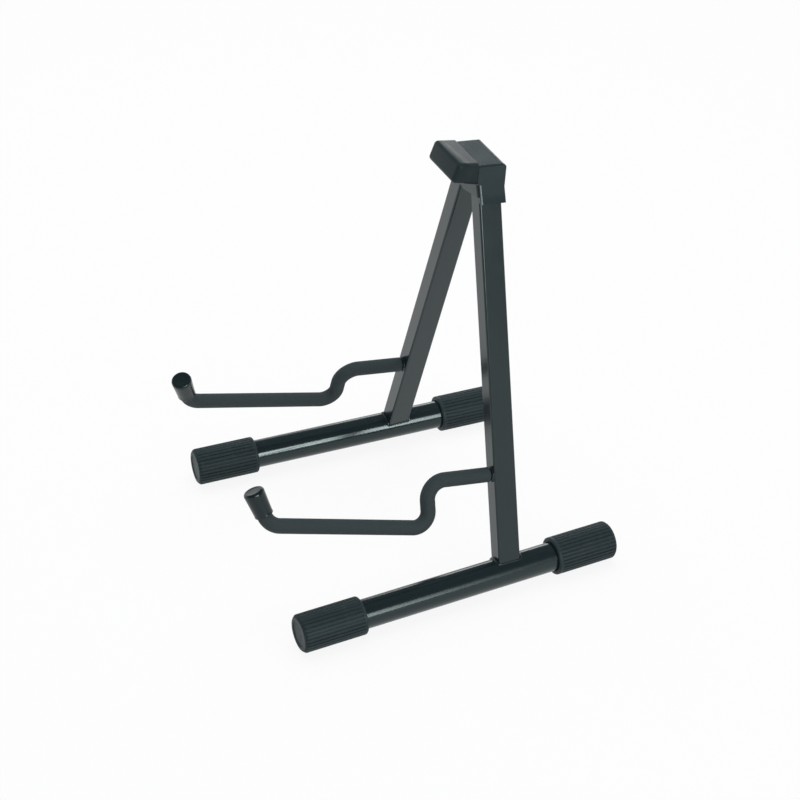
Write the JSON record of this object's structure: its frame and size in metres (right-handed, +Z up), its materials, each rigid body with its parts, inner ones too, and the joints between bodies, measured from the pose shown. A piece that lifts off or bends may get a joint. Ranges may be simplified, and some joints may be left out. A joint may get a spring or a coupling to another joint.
{
  "type": "guitar stand",
  "caption": "Folding A-frame floor stand for a guitar: two hinged legs on capped foot bars, sleeved cradle arms and a head with a rubber bumper.",
  "frame": {"origin": "on the floor, in the middle of the stand's footprint", "axes": "X across the stand, Y from the front to the back, Z up"},
  "size_m": [0.289, 0.3218, 0.3588],
  "materials": {
    "powder_coated_steel": "satin black powder coat",
    "moulded_plastic": "fine-grained black moulding",
    "bumper_rubber": "matt black rubber",
    "ribbed_rubber": "matt black rubber",
    "sleeve_rubber": "matt black foam rubber",
    "vinyl": "soft black vinyl, slightly glossy",
    "blackened_steel": "blackened zinc",
    "nylon": "natural nylon"
  },
  "bodies": {
    "head": {"head_housing": "moulded_plastic", "head_bumper": "bumper_rubber", "hinge_bolt_right": "blackened_steel", "hinge_bolt_left": "blackened_steel", "hinge_nut_right": "blackened_steel", "hinge_nut_left": "blackened_steel", "bolt_head_washers": "blackened_steel", "leg_thrust_washers": "nylon"},
    "leg_right": {"leg_tube_right": "powder_coated_steel", "leg_plug_right": "moulded_plastic", "foot_bar_right": "powder_coated_steel", "front_foot_cap_right": "ribbed_rubber", "rear_foot_cap_right": "ribbed_rubber", "foot_weld_right": "powder_coated_steel", "arm_rod_right": "powder_coated_steel", "arm_sleeve_right": "sleeve_rubber", "arm_tip_cap_right": "vinyl", "arm_weld_right": "powder_coated_steel"},
    "leg_left": {"leg_tube_left": "powder_coated_steel", "leg_plug_left": "moulded_plastic", "foot_bar_left": "powder_coated_steel", "front_foot_cap_left": "ribbed_rubber", "rear_foot_cap_left": "ribbed_rubber", "foot_weld_left": "powder_coated_steel", "arm_rod_left": "powder_coated_steel", "arm_sleeve_left": "sleeve_rubber", "arm_tip_cap_left": "vinyl", "arm_weld_left": "powder_coated_steel"}
  },
  "joints": [
    {"name": "leg_fold_right", "type": "hinge", "parent": "head", "child": "leg_right", "pos_m": [0.0108, 0.08382, 0.34263], "axis": [0, 0.9973, -0.0729], "range_deg": [0, 17]},
    {"name": "leg_fold_left", "type": "hinge", "parent": "head", "child": "leg_left", "pos_m": [-0.0108, 0.08382, 0.34263], "axis": [0, -0.9973, 0.0729], "range_deg": [0, 17]}
  ]
}
